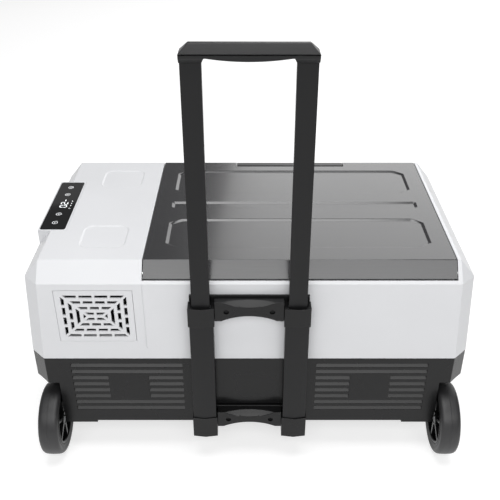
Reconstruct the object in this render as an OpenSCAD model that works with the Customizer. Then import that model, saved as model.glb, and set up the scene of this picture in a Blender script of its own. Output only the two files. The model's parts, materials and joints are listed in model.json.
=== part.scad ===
// Wheeled compressor cooler fridge with a telescopic handle.
// X runs along the length, Y from the handle side (negative) to the latch side, Z up.
// The origin is on the ground, under the middle of the whole object.

/* [Cabinet] */
// Length at the seam between the white casing and the dark base
body_l = 708; // [680:1:760]
// Depth of the cabinet, front face to back face
body_w = 395; // [380:1:430]
// Height of the lid top above the ground
body_h = 375; // [370:1:400]
// Height of the base bottom above the ground
clearance = 65.5; // [64:0.5:70]
// Height of the dark base
base_h = 136; // [130:0.5:140]
// Wall thickness of casing and base mouldings
wall = 3; // [2.5:0.5:4]
// How far each end of the casing flares between the bevel and the seam
flare = 9; // [6:1:12]
// Size of the 45 degree cut on each vertical corner
corner_cut = 23; // [18:1:26]
// Drop of the bevel round the top
bevel_drop = 29.5; // [28:0.5:32]
// Inset of the bevel on the long sides
bevel_in_y = 23.5; // [22:0.5:25]
// Inset of the bevel at the two ends
bevel_in_x = 24; // [22:0.5:26]

/* [Cold box] */
// Left end of the storage space, measured from the middle
cavity_x0 = -130; // [-135:1:-120]
// Right end of the storage space
cavity_x1 = 270; // [250:1:275]
// Width of the storage space
cavity_w = 296; // [280:1:300]
// Height of the storage floor above the ground
cavity_floor = 84; // [82:1:100]
// Corner radius of the storage space
cavity_r = 22; // [15:1:30]
// Thickness of the inner liner
liner_t = 2; // [1.5:0.5:3]
// Thickness of the evaporator sheet wrapped round the liner
evaporator_t = 1.2; // [1:0.1:1.5]

/* [Lid] */
// Left end of the lid
lid_x0 = -161; // [-162:0.5:-158]
// Right end of the lid
lid_x1 = 314; // [310:0.5:315]
// Gap between the lid and the casing at each end
lid_gap = 1.5; // [1:0.5:2]
// Height of the lid, from its lower edge to its top
lid_edge = 23.5; // [23:0.1:24.5]
// Depth of the sunk panels in the lid top
panel_sink = 2.4; // [1.5:0.1:2.6]
// Width of the sloping walls of the sunk panels
panel_slope = 4.5; // [3:0.5:6]
// Diameter of the hinge pins
hinge_pin_d = 6; // [5:0.5:6]
// Width of the latch bay in the far edge of the lid
latch_w = 202; // [160:2:220]
// Diameter of the latch pin
latch_pin_d = 4; // [3:0.5:4]

/* [Handle] */
// Distance between the two tube centres
tube_pitch = 147; // [140:1:154]
// Width of the fixed outer tubes
outer_tube_w = 37; // [36:0.5:38]
// Width of the sliding inner tubes
inner_tube_w = 27.5; // [26:0.5:28]
// Depth of the sliding inner tubes
inner_tube_d = 11.6; // [10:0.1:12]
// Height of the top of the grip when pulled out
grip_top = 714; // [690:1:730]
// Height of the lower end of the inner tubes when pulled out
inner_tube_foot = 256; // [254:1:262]
// Travel of the release bar
release_travel = 4; // [3:0.5:4]

/* [Wheels and feet] */
// Wheel diameter
wheel_d = 123; // [118:1:125]
// Wheel width
wheel_w = 33; // [28:1:34]
// Distance of the wheel centre behind the front face
wheel_setback = 12; // [12:0.5:16]
// Axle diameter
axle_d = 8; // [6:1:10]
// Radius of the wheel arch
arch_r = 89; // [84:1:92]

/* [Hidden] */

round_fn = 64;
eps = 0.01;

// Colours
casing_white = [0.88, 0.89, 0.90];
charcoal = [0.16, 0.16, 0.17];
lid_grey = [0.30, 0.30, 0.31];
soft_black = [0.07, 0.07, 0.08];
rubber_black = [0.12, 0.12, 0.12];
steel = [0.70, 0.71, 0.73];
copper = [0.72, 0.42, 0.26];
board_green = [0.10, 0.35, 0.20];

// Heights
z_base = clearance;
z_seam = clearance + base_h;
z_top = body_h;
z_bevel = z_top - bevel_drop;
z_deck = z_bevel - 5.5;
z_lid = z_top - lid_edge;
z_rim = z_lid - 2;

// The wheels reach furthest forward, the back face furthest back
wheel_r = wheel_d / 2;
mid_y = (wheel_r - wheel_setback) / 2;
front_y = mid_y - body_w / 2;
back_y = mid_y + body_w / 2;
wheel_y = front_y + wheel_setback;

// Half sizes of the casing in plan
seam_hl = body_l / 2;
bevel_hl = seam_hl - flare;
top_hl = bevel_hl - bevel_in_x;
half_w = body_w / 2;
top_hw = half_w - bevel_in_y;

// How far the long bevel stands in from the face below it, at a height
function bevel_inset(z) = (z - z_bevel) * bevel_in_y / bevel_drop;

// Lid bay walls in the casing
bay_x0 = lid_x0 - lid_gap;
bay_x1 = lid_x1 + lid_gap;
lid_mid = (lid_x0 + lid_x1) / 2;

// Lid hinge axis
hinge_y = front_y + 14.5;
hinge_z = z_top - 19;

// ---------------------------------------------------------------- helpers

// Box between two opposite corners
module block(low, high) translate(low) cube(high - low);

// Round bar along X, Y or Z
module bar_x(x0, x1, y, z, r)
    translate([x0, y, z]) rotate([0, 90, 0]) cylinder(h = x1 - x0, r = r, $fn = round_fn);
module bar_y(y0, y1, x, z, r)
    translate([x, y0, z]) rotate([-90, 0, 0]) cylinder(h = y1 - y0, r = r, $fn = round_fn);
module bar_z(z0, z1, x, y, r)
    translate([x, y, z0]) cylinder(h = z1 - z0, r = r, $fn = round_fn);

// An outline in X and Z, carried from y0 to y1
module along_y(y0, y1) translate([0, y1, 0]) rotate([90, 0, 0]) linear_extrude(y1 - y0) children();

// An outline in Y and Z, carried from x0 to x1
module along_x(x0, x1) translate([x0, 0, 0]) rotate([90, 0, 90]) linear_extrude(x1 - x0) children();

// Rectangle with round corners, between two corners
module round_rect(x0, x1, y0, y1, r) {
    translate([x0 + r, y0]) square([x1 - x0 - 2 * r, y1 - y0]);
    translate([x0, y0 + r]) square([x1 - x0, y1 - y0 - 2 * r]);
    for (x = [x0 + r, x1 - r], y = [y0 + r, y1 - r])
        translate([x, y]) circle(r, $fn = round_fn);
}

// Rectangle with cut corners, centred
function cut_rect(hl, hw, kx, ky) = [
    [-hl + kx, -hw], [hl - kx, -hw], [hl, -hw + ky], [hl, hw - ky],
    [hl - kx, hw], [-hl + kx, hw], [-hl, hw - ky], [-hl, -hw + ky]];

function at_height(outline, z) = [for (p = outline) [p[0], mid_y + p[1], z]];

// Convex solid through a list of points
module skin_over(points)
    hull() polyhedron(points, [for (i = [0 : len(points) - 3]) [i, i + 1, i + 2]]);

// Both sides of the object, mirrored in X
module both_ends() {
    children();
    mirror([1, 0, 0]) children();
}

function unit(v) = v / norm(v);
function heading(points, i) = unit(points[i + 1] - points[i]);

// Which way the cut at point i faces: across the run at an end, halfway between two runs at a bend
function facing(points, i) = i == len(points) - 1 ? heading(points, i - 1)
    : unit(heading(points, i - 1) + heading(points, i));

// A ring of points slid along its run on to the cut through a spot
function slid(ring, run, spot, cut) = [for (q = ring) q + run * ((spot - q) * cut) / (run * cut)];

// The ring given and, after it, the one at each point from i on
function pipe_rings(points, ring, i = 1) = i == len(points) ? [ring]
    : concat([ring], pipe_rings(points,
        slid(ring, heading(points, i - 1), points[i], facing(points, i)), i + 1));

// Pipe through a list of points, with flat ends and mitred bends
module pipe(points, r) {
    sides = 12;
    run = heading(points, 0);
    across = unit(cross(run, [0.3, 0.5, 0.8]));
    up = cross(run, across);
    first = [for (j = [0 : sides - 1])
        points[0] + r * (cos(360 * j / sides) * across + sin(360 * j / sides) * up)];
    walls = [for (i = [0 : len(points) - 2], j = [0 : sides - 1])
        let (k = (j + 1) % sides)
        [i * sides + j, (i + 1) * sides + j, (i + 1) * sides + k, i * sides + k]];
    ends = [[for (j = [0 : sides - 1]) j],
        [for (j = [sides - 1 : -1 : 0]) (len(points) - 1) * sides + j]];
    polyhedron([for (ring = pipe_rings(points, first)) each ring], concat(walls, ends));
}

// Coil spring standing on the origin
module coil_spring(r, wire, height, turns) {
    sides = 6;
    steps = 14 * turns;
    function spot(i, j) =
        let (a = 360 * turns * i / steps, b = 360 * j / sides,
            reach = r + wire / 2 * cos(b))
        [reach * cos(a), reach * sin(a), wire / 2 + (height - wire) * i / steps + wire / 2 * sin(b)];
    points = [for (i = [0 : steps], j = [0 : sides - 1]) spot(i, j)];
    walls = [for (i = [0 : steps - 1], j = [0 : sides - 1])
        let (k = (j + 1) % sides)
        [i * sides + j, i * sides + k, (i + 1) * sides + k, (i + 1) * sides + j]];
    ends = [[for (j = [sides - 1 : -1 : 0]) j], [for (j = [0 : sides - 1]) steps * sides + j]];
    polyhedron(points, concat(walls, ends));
}

// ---------------------------------------------------------------- cabinet shells

// Outer form of the white casing, drawn in by t and run on below the seam by drop
module casing_form(t, drop) {
    k = corner_cut - 0.586 * t;
    low_hl = seam_hl + flare * drop / (z_bevel - z_seam);
    skin_over(concat(
        at_height([for (x = [-1, 1], y = [-1, 1]) [x * (top_hl - t / 2), y * (top_hw - t / 2)]], z_top - t),
        at_height(cut_rect(bevel_hl - t, half_w - t, k, k), z_bevel),
        at_height(cut_rect(low_hl - t, half_w - t, k, k), z_seam - drop)));
}

// Thickness of the rim round the lid, at the foot of the bevel
rim_t = 5;

// Grille: the middle of its face, and its half sizes
grille_x = -238.4;
grille_z = 285.4;
grille_hw = 60;
grille_hh = 48;

// Control pod on the left bevel
pod_x0 = -342.5;
pod_x1 = -296.5;
pod_y0 = mid_y - 85.5;
pod_y1 = mid_y + 90.5;
pod_z0 = z_top - bevel_drop * (-pod_x0 - top_hl) / bevel_in_x;

// Fan behind the grille
fan_size = 92;
fan_y0 = front_y + 6;
fan_y1 = fan_y0 + 25;
fan_hole_pitch = 82.5;

// The two sunk finger panels on the machine room roof
roof_panel_hx = 37;
roof_panel_hy = 35;
roof_panel_y = 104;
roof_panel_x = -231;

// Round-cornered ring of points, for the edge of a shallow pan
function pan_edge(hx, hy, r) = [for (sx = [-1, 1], sy = [-1, 1], a = [0 : 11.25 : 90])
    [sx * (hx - r + r * cos(a)), sy * (hy - r + r * sin(a))]];

// Shallow pan with sloping walls
module roof_panel(side) {
    sink = 1.3;
    slope = 3;
    place = [roof_panel_x, side * roof_panel_y];
    skin_over(concat(
        at_height([for (p = pan_edge(roof_panel_hx + slope, roof_panel_hy + slope, 16 + slope)) place + p],
            z_top + sink),
        at_height([for (p = pan_edge(roof_panel_hx - slope, roof_panel_hy - slope, 16 - slope)) place + p],
            z_top - sink)));
}

module upper_casing() color(casing_white) difference() {
    union() {
        difference() {
            casing_form(0, 0);
            // Hollow of the machine room, of the space under the deck and of the right end
            intersection() {
                casing_form(wall, 2);
                union() {
                    block([-body_l, front_y, 0], [bay_x0 - wall, back_y, z_top]);
                    block([-body_l, front_y, 0], [body_l, back_y, z_deck - wall]);
                    block([bay_x1 + wall, front_y, 0], [body_l, back_y, z_top]);
                }
            }
            // Bay for the lid, down to the rim and, inside it, to the deck
            block([bay_x0, front_y - 1, z_rim], [bay_x1, back_y + 1, z_top + 1]);
            block([bay_x0, front_y + rim_t, z_deck], [bay_x1, back_y - rim_t, z_top]);
        }
        // Bosses that hold the lid hinge pins
        intersection() {
            casing_form(0, 0);
            union() {
                bar_x(bay_x0 - 12, bay_x0 - wall / 2, hinge_y, hinge_z, 7);
                bar_x(bay_x1 + wall / 2, top_hl + 1, hinge_y, hinge_z, 7);
            }
        }
        // Seat of the grille, which also carries the fan
        block([grille_x - grille_hw - 4, front_y + wall / 2, grille_z - grille_hh - 4],
            [grille_x + grille_hw + 4, fan_y0, grille_z + grille_hh + 4]);
        // Tongues that drop inside the base
        both_ends() {
            block([seam_hl - 7, mid_y - 120, z_seam - 14], [seam_hl - 4, mid_y + 120, z_seam + 6]);
            block([seam_hl - 7, mid_y - 120, z_seam + 1], [seam_hl - 1.5, mid_y + 120, z_seam + 6]);
        }
    }
    // Mouth of the cold box
    translate([0, 0, z_deck - 2 * wall]) linear_extrude(3 * wall)
        round_rect(cavity_x0, cavity_x1, mid_y - cavity_w / 2, mid_y + cavity_w / 2, cavity_r);
    // Hinge pin bores
    bar_x(bay_x0 - 12, bay_x0 + 1, hinge_y, hinge_z, hinge_pin_d / 2);
    bar_x(bay_x1 - 1, top_hl - 0.5, hinge_y, hinge_z, hinge_pin_d / 2);
    // Window for the grille
    block([grille_x - grille_hw - 0.4, front_y - 1, grille_z - grille_hh - 0.4],
        [grille_x + grille_hw + 0.4, front_y + wall, grille_z + grille_hh + 0.4]);
    block([grille_x - 51, front_y, grille_z - 40], [grille_x + 51, fan_y0 + 1, grille_z + 40]);
    // Seat of the control pod
    block([-body_l, pod_y0, pod_z0], [pod_x1, pod_y1, z_top + 1]);
    // Moulded line between the machine room and the cold box
    block([bay_x0 - 0.8, front_y - 1, z_seam + 22], [bay_x0 + 0.4, front_y + 0.8, z_bevel + 0.5]);
    for (side = [-1, 1]) roof_panel(side);
    // Fan screw pilots
    for (x = [-1, 1], z = [-1, 1])
        bar_y(front_y + wall + 0.5, fan_y0 + 1, grille_x + x * fan_hole_pitch / 2,
            grille_z + z * fan_hole_pitch / 2, 1.6);
    // Holes of the upper bracket screws
    for (s = [-1, 1]) bar_y(front_y - 1, front_y + wall + 1, s * bracket_screw_x, high_bar_z, 2.1);
    // Pilots for the casing screws
    both_ends() for (y = casing_screw_y)
        bar_x(seam_hl - 9, seam_hl - 4, y, z_seam - 8, 1.6);
}

// One ring of mitred slots
module slot_ring(hw, hh, across, down) difference() {
    slot = 5;
    web = 4;
    translate([-hw - slot / 2, -hh - slot / 2]) square([2 * hw + slot, 2 * hh + slot]);
    translate([-hw + slot / 2, -hh + slot / 2]) square([2 * hw - slot, 2 * hh - slot]);
    // Webs along the corner diagonals
    for (sx = [-1, 1], sy = [-1, 1])
        translate([sx * hw, sy * hh]) rotate(sx * sy * 45) square([4 * slot, web], center = true);
    // Webs between the dashes
    for (i = [1 : 1 : across - 1])
        translate([-hw + 2 * hw * i / across, 0]) square([web, 3 * hh + 30], center = true);
    for (i = [1 : 1 : down - 1])
        intersection() {
            translate([0, -hh + 2 * hh * i / down]) square([3 * hw + 30, web], center = true);
            union() {
                translate([-hw - slot, -hh + slot]) square([2 * slot, 2 * hh - 2 * slot]);
                translate([hw - slot, -hh + slot]) square([2 * slot, 2 * hh - 2 * slot]);
            }
        }
}

module vent_grille() color(casing_white) difference() {
    block([grille_x - grille_hw, front_y, grille_z - grille_hh],
        [grille_x + grille_hw, front_y + wall, grille_z + grille_hh]);
    translate([grille_x, 0, grille_z]) along_y(front_y - 1, front_y + wall + 1) {
        slot_ring(48, 37, 4, 4);
        slot_ring(37.4, 26.3, 4, 3);
        slot_ring(26.8, 15.6, 3, 1);
        slot_ring(16.2, 5, 2, 1);
    }
}

// Louvres: eight rows each side, with a blank plate in the middle of rows three to six
louvre_x0 = 108.5;
louvre_x1 = 290;
louvre_z = 187;
louvre_pitch = 13.2;
louvre_rows = 8;
blank_x0 = 165;
blank_x1 = 231;
louvre_cut = 6.5;
louvre_wall = 9.5;

// One groove whose floor slopes up and inwards
module louvre_groove(x0, x1, z) along_x(x0, x1)
    polygon([[front_y - 1, z - 4.9], [front_y, z - 4.2], [front_y + louvre_cut, z + 3.6],
        [front_y - 1, z + 3.6]]);

module louvre_row(i) {
    z = louvre_z - louvre_pitch * i;
    broken = i >= 2 && i <= 5;
    louvre_groove(louvre_x0, broken ? blank_x0 : louvre_x1, z);
    if (broken) louvre_groove(blank_x1, louvre_x1, z);
}

// Slits through the wall behind each groove of the machine room
module louvre_slits() for (i = [0 : louvre_rows - 1]) {
    z = louvre_z - louvre_pitch * i;
    block([-louvre_x1 + 4, front_y, z + 0.8], [-blank_x1 - 4, front_y + louvre_wall + 1, z + 3.2]);
    block([-blank_x0 + 4, front_y, z + 0.8], [-louvre_x0 - 4, front_y + louvre_wall + 1, z + 3.2]);
}

arch_wall_x = 313;
base_hl = seam_hl - 0.6;
boss_r = 8;

// Space of one wheel arch, grown by t
module arch_space(t) bar_x(arch_wall_x - t, body_l, wheel_y, wheel_r, arch_r + t);

// DC inlet on the left end of the base
inlet_y = mid_y + 105;
inlet_z = 145;
inlet_hy = 21;
inlet_hz = 15;

casing_screw_y = [mid_y - 90, mid_y, mid_y + 60];

foot_x = 300;
foot_y = back_y - 48;
pad_plate_z = z_base - 4.5;
bracket_x0 = 259;
bracket_bolt_x = 272;
bracket_bolt_y = [front_y + 34, front_y + 62];
foot_bolt_y = [foot_y - 20, foot_y + 20];

module base_tub() color(charcoal) difference() {
    translate([0, mid_y, z_base]) linear_extrude(base_h)
        polygon(cut_rect(base_hl, half_w, corner_cut, corner_cut));
    difference() {
        translate([0, mid_y, z_base + wall]) linear_extrude(base_h)
            polygon(cut_rect(base_hl - wall, half_w - wall, corner_cut - 1.8, corner_cut - 1.8));
        both_ends() arch_space(wall);
        // Thicker wall behind the louvres
        both_ends() block([louvre_x0 - 8, front_y, 82], [louvre_x1 + 8, front_y + louvre_wall, z_seam - 4]);
    }
    both_ends() arch_space(0);
    both_ends() for (i = [0 : louvre_rows - 1]) louvre_row(i);
    louvre_slits();
    // Step between the handle tubes
    block([-54, front_y - 1, z_base - 1], [54, front_y + 1, z_base + 54]);
    // Pocket over each axle boss
    both_ends() bar_x(bracket_x0 + 22, arch_wall_x + 1, wheel_y, wheel_r, boss_r + 0.3);
    // Bolt holes for axle brackets and rear feet
    both_ends() {
        for (y = bracket_bolt_y) bar_z(z_base - 1, z_base + wall + 1, bracket_bolt_x, y, 2.6);
        for (y = foot_bolt_y) bar_z(z_base - 1, z_base + wall + 1, foot_x, y, 2.6);
    }
    // Window of the DC inlet
    block([-seam_hl - 1, inlet_y - inlet_hy, inlet_z - inlet_hz],
        [-base_hl + wall + 1, inlet_y + inlet_hy, inlet_z + inlet_hz]);
    // Slots that let the casing screws through
    both_ends() for (y = casing_screw_y) bar_x(base_hl - wall - 1, seam_hl + 1, y, z_seam - 8, 2.2);
    // Holes of the lower bracket screws
    for (s = [-1, 1]) bar_y(front_y - 1, front_y + wall + 1, s * bracket_screw_x, low_bar_z, 2.1);
}

// ---------------------------------------------------------------- cold box

liner_out = liner_t;
evap_out = liner_t + evaporator_t;
light_x = cavity_x0;
light_z = 312;

// Footprint of the storage space, grown by t
module cavity_plan(t) round_rect(cavity_x0 - t, cavity_x1 + t,
    mid_y - cavity_w / 2 - t, mid_y + cavity_w / 2 + t, cavity_r + t);

module inner_liner() color([0.84, 0.85, 0.86]) difference() {
    union() {
        translate([0, 0, cavity_floor - liner_t]) linear_extrude(z_deck - wall - cavity_floor + liner_t)
            cavity_plan(liner_t);
        translate([0, 0, z_deck - wall - 2]) linear_extrude(2) cavity_plan(16);
    }
    translate([0, 0, cavity_floor]) linear_extrude(z_deck) cavity_plan(0);
    // Seat of the lamp
    block([light_x - 10, mid_y - 22, light_z - 6], [light_x + 1, mid_y + 22, light_z + 6]);
}

module evaporator_plate() color([0.76, 0.77, 0.78]) difference() {
    union() {
        translate([0, 0, 120]) linear_extrude(170) cavity_plan(evap_out);
        for (i = [0 : 4]) translate([0, 0, 132 + 34 * i]) linear_extrude(9) cavity_plan(evap_out + 2);
    }
    translate([0, 0, 110]) linear_extrude(200) cavity_plan(liner_out);
}

foam_x0 = -170;
foam_low_x1 = 306;
foam_high_x1 = 337;

module foam_insulation() color([0.93, 0.90, 0.72]) difference() {
    union() {
        block([foam_x0, front_y + louvre_wall + 2, z_base + 5],
            [foam_low_x1, back_y - wall - 2, z_deck - wall - 3]);
        block([foam_low_x1 - 1, front_y + 26, z_base + 95], [foam_high_x1, back_y - 28, z_deck - wall - 3]);
        block([foam_low_x1 - 1, wheel_y + arch_r + wall + 8, z_base + 5],
            [foam_high_x1, back_y - 28, z_seam]);
    }
    translate([0, 0, cavity_floor - liner_t]) linear_extrude(z_deck) cavity_plan(liner_out);
    translate([0, 0, 120]) linear_extrude(170) cavity_plan(evap_out);
    for (i = [0 : 4]) translate([0, 0, 132 + 34 * i]) linear_extrude(9) cavity_plan(evap_out + 2);
    block([light_x - 12, mid_y - 24, light_z - 8], [light_x, mid_y + 24, light_z + 8]);
}

module interior_light() color([0.97, 0.97, 0.92]) {
    block([light_x - 9, mid_y - 21, light_z - 5], [light_x + 0.5, mid_y + 21, light_z + 5]);
}

// ---------------------------------------------------------------- control pod

panel_x0 = -340;
panel_x1 = -299;
panel_y0 = mid_y - 83;
panel_y1 = mid_y + 88;
panel_t = 1.4;
key_x = -320;
key_y = [mid_y + 68, mid_y + 40, mid_y - 31, mid_y - 60];
key_r = 4.9;
key_clear = 0.1;

module control_pod() color(casing_white) difference() {
    block([pod_x0, pod_y0, pod_z0], [pod_x1, pod_y1, z_top]);
    // Hollow, open at the bottom
    block([pod_x0 + 2, pod_y0 + 2, pod_z0 - 1], [pod_x1 - 2, pod_y1 - 2, z_top - panel_t - 1.8]);
    // Seat of the display panel and the window under it
    translate([0, 0, z_top - panel_t]) linear_extrude(3)
        round_rect(panel_x0 - 0.2, panel_x1 + 0.2, panel_y0 - 0.2, panel_y1 + 0.2, 4.2);
    block([panel_x0 + 2, panel_y0 + 2, z_top - 8], [panel_x1 - 2, panel_y1 - 2, z_top + 1]);
}

module display_panel() color(soft_black) difference() {
    translate([0, 0, z_top - panel_t]) linear_extrude(panel_t)
        round_rect(panel_x0, panel_x1, panel_y0, panel_y1, 4);
    for (y = key_y) bar_z(z_top - 3, z_top + 1, key_x, y, key_r + key_clear);
}

module key_cap(y) color(soft_black) {
    bar_z(z_top - 2.2, z_top, key_x, y, key_r);
    bar_z(z_top - 2.2, z_top - panel_t - 0.2, key_x, y, key_r + 0.9);
}
module power_key() key_cap(key_y[0]);
module menu_key() key_cap(key_y[1]);
module plus_key() key_cap(key_y[2]);
module minus_key() key_cap(key_y[3]);

board_z = z_top - 10;

module display_board() color(board_green) {
    block([panel_x0 + 1, panel_y0 + 1, board_z - 1.6], [panel_x1 - 1, panel_y1 - 1, board_z]);
    // Digit block
    block([-331, mid_y - 14, board_z - eps], [-307, mid_y + 22, z_top - panel_t - 0.5]);
    // Switches under the keys
    for (y = key_y) {
        block([key_x - 3, y - 3, board_z - eps], [key_x + 3, y + 3, board_z + 3.5]);
        bar_z(board_z + 3, z_top - 3.4, key_x, y, 1.7);
    }
}

// ---------------------------------------------------------------- machine room

module dc_inlet() color(soft_black) difference() {
    union() {
        block([-seam_hl + 0.1, inlet_y - inlet_hy + 0.2, inlet_z - inlet_hz + 0.2],
            [-seam_hl + 20, inlet_y + inlet_hy - 0.2, inlet_z + inlet_hz - 0.2]);
        block([-base_hl + wall + 0.2, inlet_y - inlet_hy - 3, inlet_z - inlet_hz - 3],
            [-base_hl + wall + 2, inlet_y + inlet_hy + 3, inlet_z + inlet_hz + 3]);
    }
    // Socket well and the plug opening
    block([-seam_hl - 1, inlet_y - 16, inlet_z - 10], [-seam_hl + 3, inlet_y + 16, inlet_z + 10]);
    bar_x(-seam_hl - 1, -seam_hl + 16, inlet_y - 6, inlet_z, 5);
    bar_x(-seam_hl - 1, -seam_hl + 16, inlet_y + 7, inlet_z, 4);
}

comp_x = -262;
comp_y = mid_y + 104;
comp_z = 84;
comp_r = 48;
comp_feet_x = 40;
comp_feet_y = 52;

// Half profile of the pressed compressor shell
function dome(r, h, n) = [for (i = [0 : n]) [r * cos(90 * i / n), h * sin(90 * i / n)]];

module compressor() color([0.13, 0.13, 0.14]) difference() {
    union() {
        translate([comp_x, comp_y, comp_z]) rotate_extrude($fn = round_fn)
            polygon(concat([[0, 4], [comp_r - 4, 4], [comp_r, 10]],
                [for (p = dome(comp_r, 26, 8)) [max(p[0], 0), 66 + p[1]]]));
        // Weld flange round the shell
        bar_z(comp_z + 44, comp_z + 49, comp_x, comp_y, comp_r + 3);
        block([comp_x - comp_feet_x - 10, comp_y - comp_feet_y - 8, comp_z],
            [comp_x + comp_feet_x + 10, comp_y - comp_feet_y + 9, comp_z + 2.5]);
        block([comp_x - comp_feet_x - 10, comp_y + comp_feet_y - 9, comp_z],
            [comp_x + comp_feet_x + 10, comp_y + comp_feet_y + 8, comp_z + 2.5]);
        block([comp_x - 22, comp_y - comp_feet_y, comp_z], [comp_x + 22, comp_y + comp_feet_y, comp_z + 5]);
        // Terminal box
        block([comp_x + 40, comp_y - 16, comp_z + 18], [comp_x + 60, comp_y + 16, comp_z + 42]);
        // Pipe stubs
        bar_z(comp_z + 75, comp_z + 104, comp_x + 18, comp_y - 22, 4);
        bar_z(comp_z + 75, comp_z + 104, comp_x - 18, comp_y - 22, 5);
    }
    for (x = [-1, 1], y = [-1, 1])
        bar_z(comp_z - 1, comp_z + 4, comp_x + x * comp_feet_x, comp_y + y * comp_feet_y, 5.1);
}

module compressor_mounts() color(rubber_black)
    for (x = [-1, 1], y = [-1, 1])
        translate([comp_x + x * comp_feet_x, comp_y + y * comp_feet_y, z_base + wall]) difference() {
            union() {
                cylinder(h = comp_z - z_base - wall, r = 8, $fn = round_fn);
                cylinder(h = comp_z - z_base - wall + 2.5, r = 5, $fn = round_fn);
                translate([0, 0, comp_z - z_base - wall + 2.5]) cylinder(h = 3, r = 8, $fn = round_fn);
            }
            translate([0, 0, -1]) cylinder(h = 40, r = 2.6, $fn = round_fn);
        }

module mount_bolts() color(steel)
    for (x = [-1, 1], y = [-1, 1])
        translate([comp_x + x * comp_feet_x, comp_y + y * comp_feet_y, z_base + wall]) {
            cylinder(h = comp_z - z_base - wall + 8, r = 2.5, $fn = round_fn);
            translate([0, 0, comp_z - z_base - wall + 5.5]) cylinder(h = 1.2, r = 6, $fn = round_fn);
            translate([0, 0, comp_z - z_base - wall + 6.7]) cylinder(h = 4, r = 4.4, $fn = 6);
        }

cond_y0 = fan_y1 + 0.2;
cond_y1 = cond_y0 + 26;
cond_hw = 48;
cond_hh = 50;

module condenser() color([0.78, 0.79, 0.80]) {
    fins = 18;
    for (i = [0 : fins]) {
        x = grille_x - cond_hw + 2 * cond_hw * i / fins;
        block([x - 0.5, cond_y0, grille_z - cond_hh], [x + 0.5, cond_y1, grille_z + cond_hh]);
    }
    for (i = [0 : 4]) bar_x(grille_x - cond_hw - 6, grille_x + cond_hw + 6, (cond_y0 + cond_y1) / 2,
        grille_z - 40 + 20 * i, 3);
    // Return bends, joining the passes in turn
    for (i = [0 : 3]) {
        right = i % 2 == 1;
        translate([grille_x + (right ? 1 : -1) * (cond_hw + 6), (cond_y0 + cond_y1) / 2,
            grille_z - 30 + 20 * i])
            rotate([90, 0, 0]) rotate(right ? -90 : 90)
                rotate_extrude(angle = 180, $fn = round_fn) translate([10, 0]) circle(3, $fn = 24);
    }
}

// Round opening of the fan, and the depth of the plate and struts at its back
fan_mouth_r = 43;
fan_plate_t = 4;

module fan_outline() difference() {
    round_rect(-fan_size / 2, fan_size / 2, -fan_size / 2, fan_size / 2, 4);
    circle(fan_mouth_r, $fn = 96);
    for (x = [-1, 1], y = [-1, 1])
        translate([x, y] * fan_hole_pitch / 2) circle(2.2, $fn = 32);
}

// Motor plate with its bearing, on four struts
module fan_spider() difference() {
    union() {
        circle(18, $fn = round_fn);
        for (a = [45 : 90 : 315]) rotate(a) translate([10, -2.5]) square([36, 5]);
    }
    circle(1.56, $fn = 32);
}

module fan_frame() color(soft_black) {
    along_y(fan_y0, fan_y1 - fan_plate_t) translate([grille_x, grille_z]) fan_outline();
    along_y(fan_y1 - fan_plate_t, fan_y1) translate([grille_x, grille_z]) {
        fan_outline();
        fan_spider();
    }
}

module fan_rotor() color(charcoal) {
    blades = 7;
    bar_y(fan_y0 + 2, fan_y1 - 6, grille_x, grille_z, 17);
    bar_y(fan_y1 - 7, fan_y1 - 0.5, grille_x, grille_z, 1.5);
    for (i = [0 : blades - 1])
        translate([grille_x, (fan_y0 + fan_y1) / 2 - 2, grille_z]) rotate([0, i * 360 / blades, 0])
            translate([15, 0, 0]) rotate([38, 0, 0]) translate([0, -1, -10]) cube([26, 2, 20]);
}

drier_x = -192;
drier_y = mid_y + 20;

module filter_drier() color(copper) {
    bar_z(130, 196, drier_x, drier_y, 9);
    bar_z(122, 131, drier_x, drier_y, 4);
    bar_z(195, 204, drier_x, drier_y, 4);
}

cond_mid_y = (cond_y0 + cond_y1) / 2;

cond_end = cond_hw + 6;
pipe_bay_x = -318;

module refrigerant_lines() color(copper) {
    // Discharge: compressor to the top pass of the condenser
    pipe([[comp_x + 18, comp_y - 22, comp_z + 104], [comp_x + 18, comp_y - 22, 215],
        [comp_x - 55, comp_y - 60, 215], [pipe_bay_x, cond_mid_y + 25, 240],
        [pipe_bay_x, cond_mid_y, 325.4], [grille_x - cond_end, cond_mid_y, 325.4]], 3);
    // Liquid: bottom pass to the drier
    pipe([[grille_x + cond_end, cond_mid_y, 245.4], [foam_x0 - 6, cond_mid_y, 245.4],
        [foam_x0 - 6, cond_mid_y + 34, 232], [drier_x, drier_y - 30, 228], [drier_x, drier_y, 218],
        [drier_x, drier_y, 204]], 3);
    // Capillary: drier to the evaporator
    pipe([[drier_x, drier_y, 122], [drier_x, drier_y, 108], [-180, drier_y + 16, 108],
        [foam_x0 - 0.2, drier_y + 16, 108]], 1.5);
    // Suction: evaporator back to the compressor
    pipe([[foam_x0 - 0.2, comp_y - 55, 200], [-215, comp_y - 55, 200], [comp_x, comp_y - 43, 202],
        [comp_x - 18, comp_y - 22, 202], [comp_x - 18, comp_y - 22, comp_z + 104]], 4);
}

board_y0 = mid_y + 40;
board_y1 = mid_y + 160;
driver_z0 = 238;
driver_z1 = 318;

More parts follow.
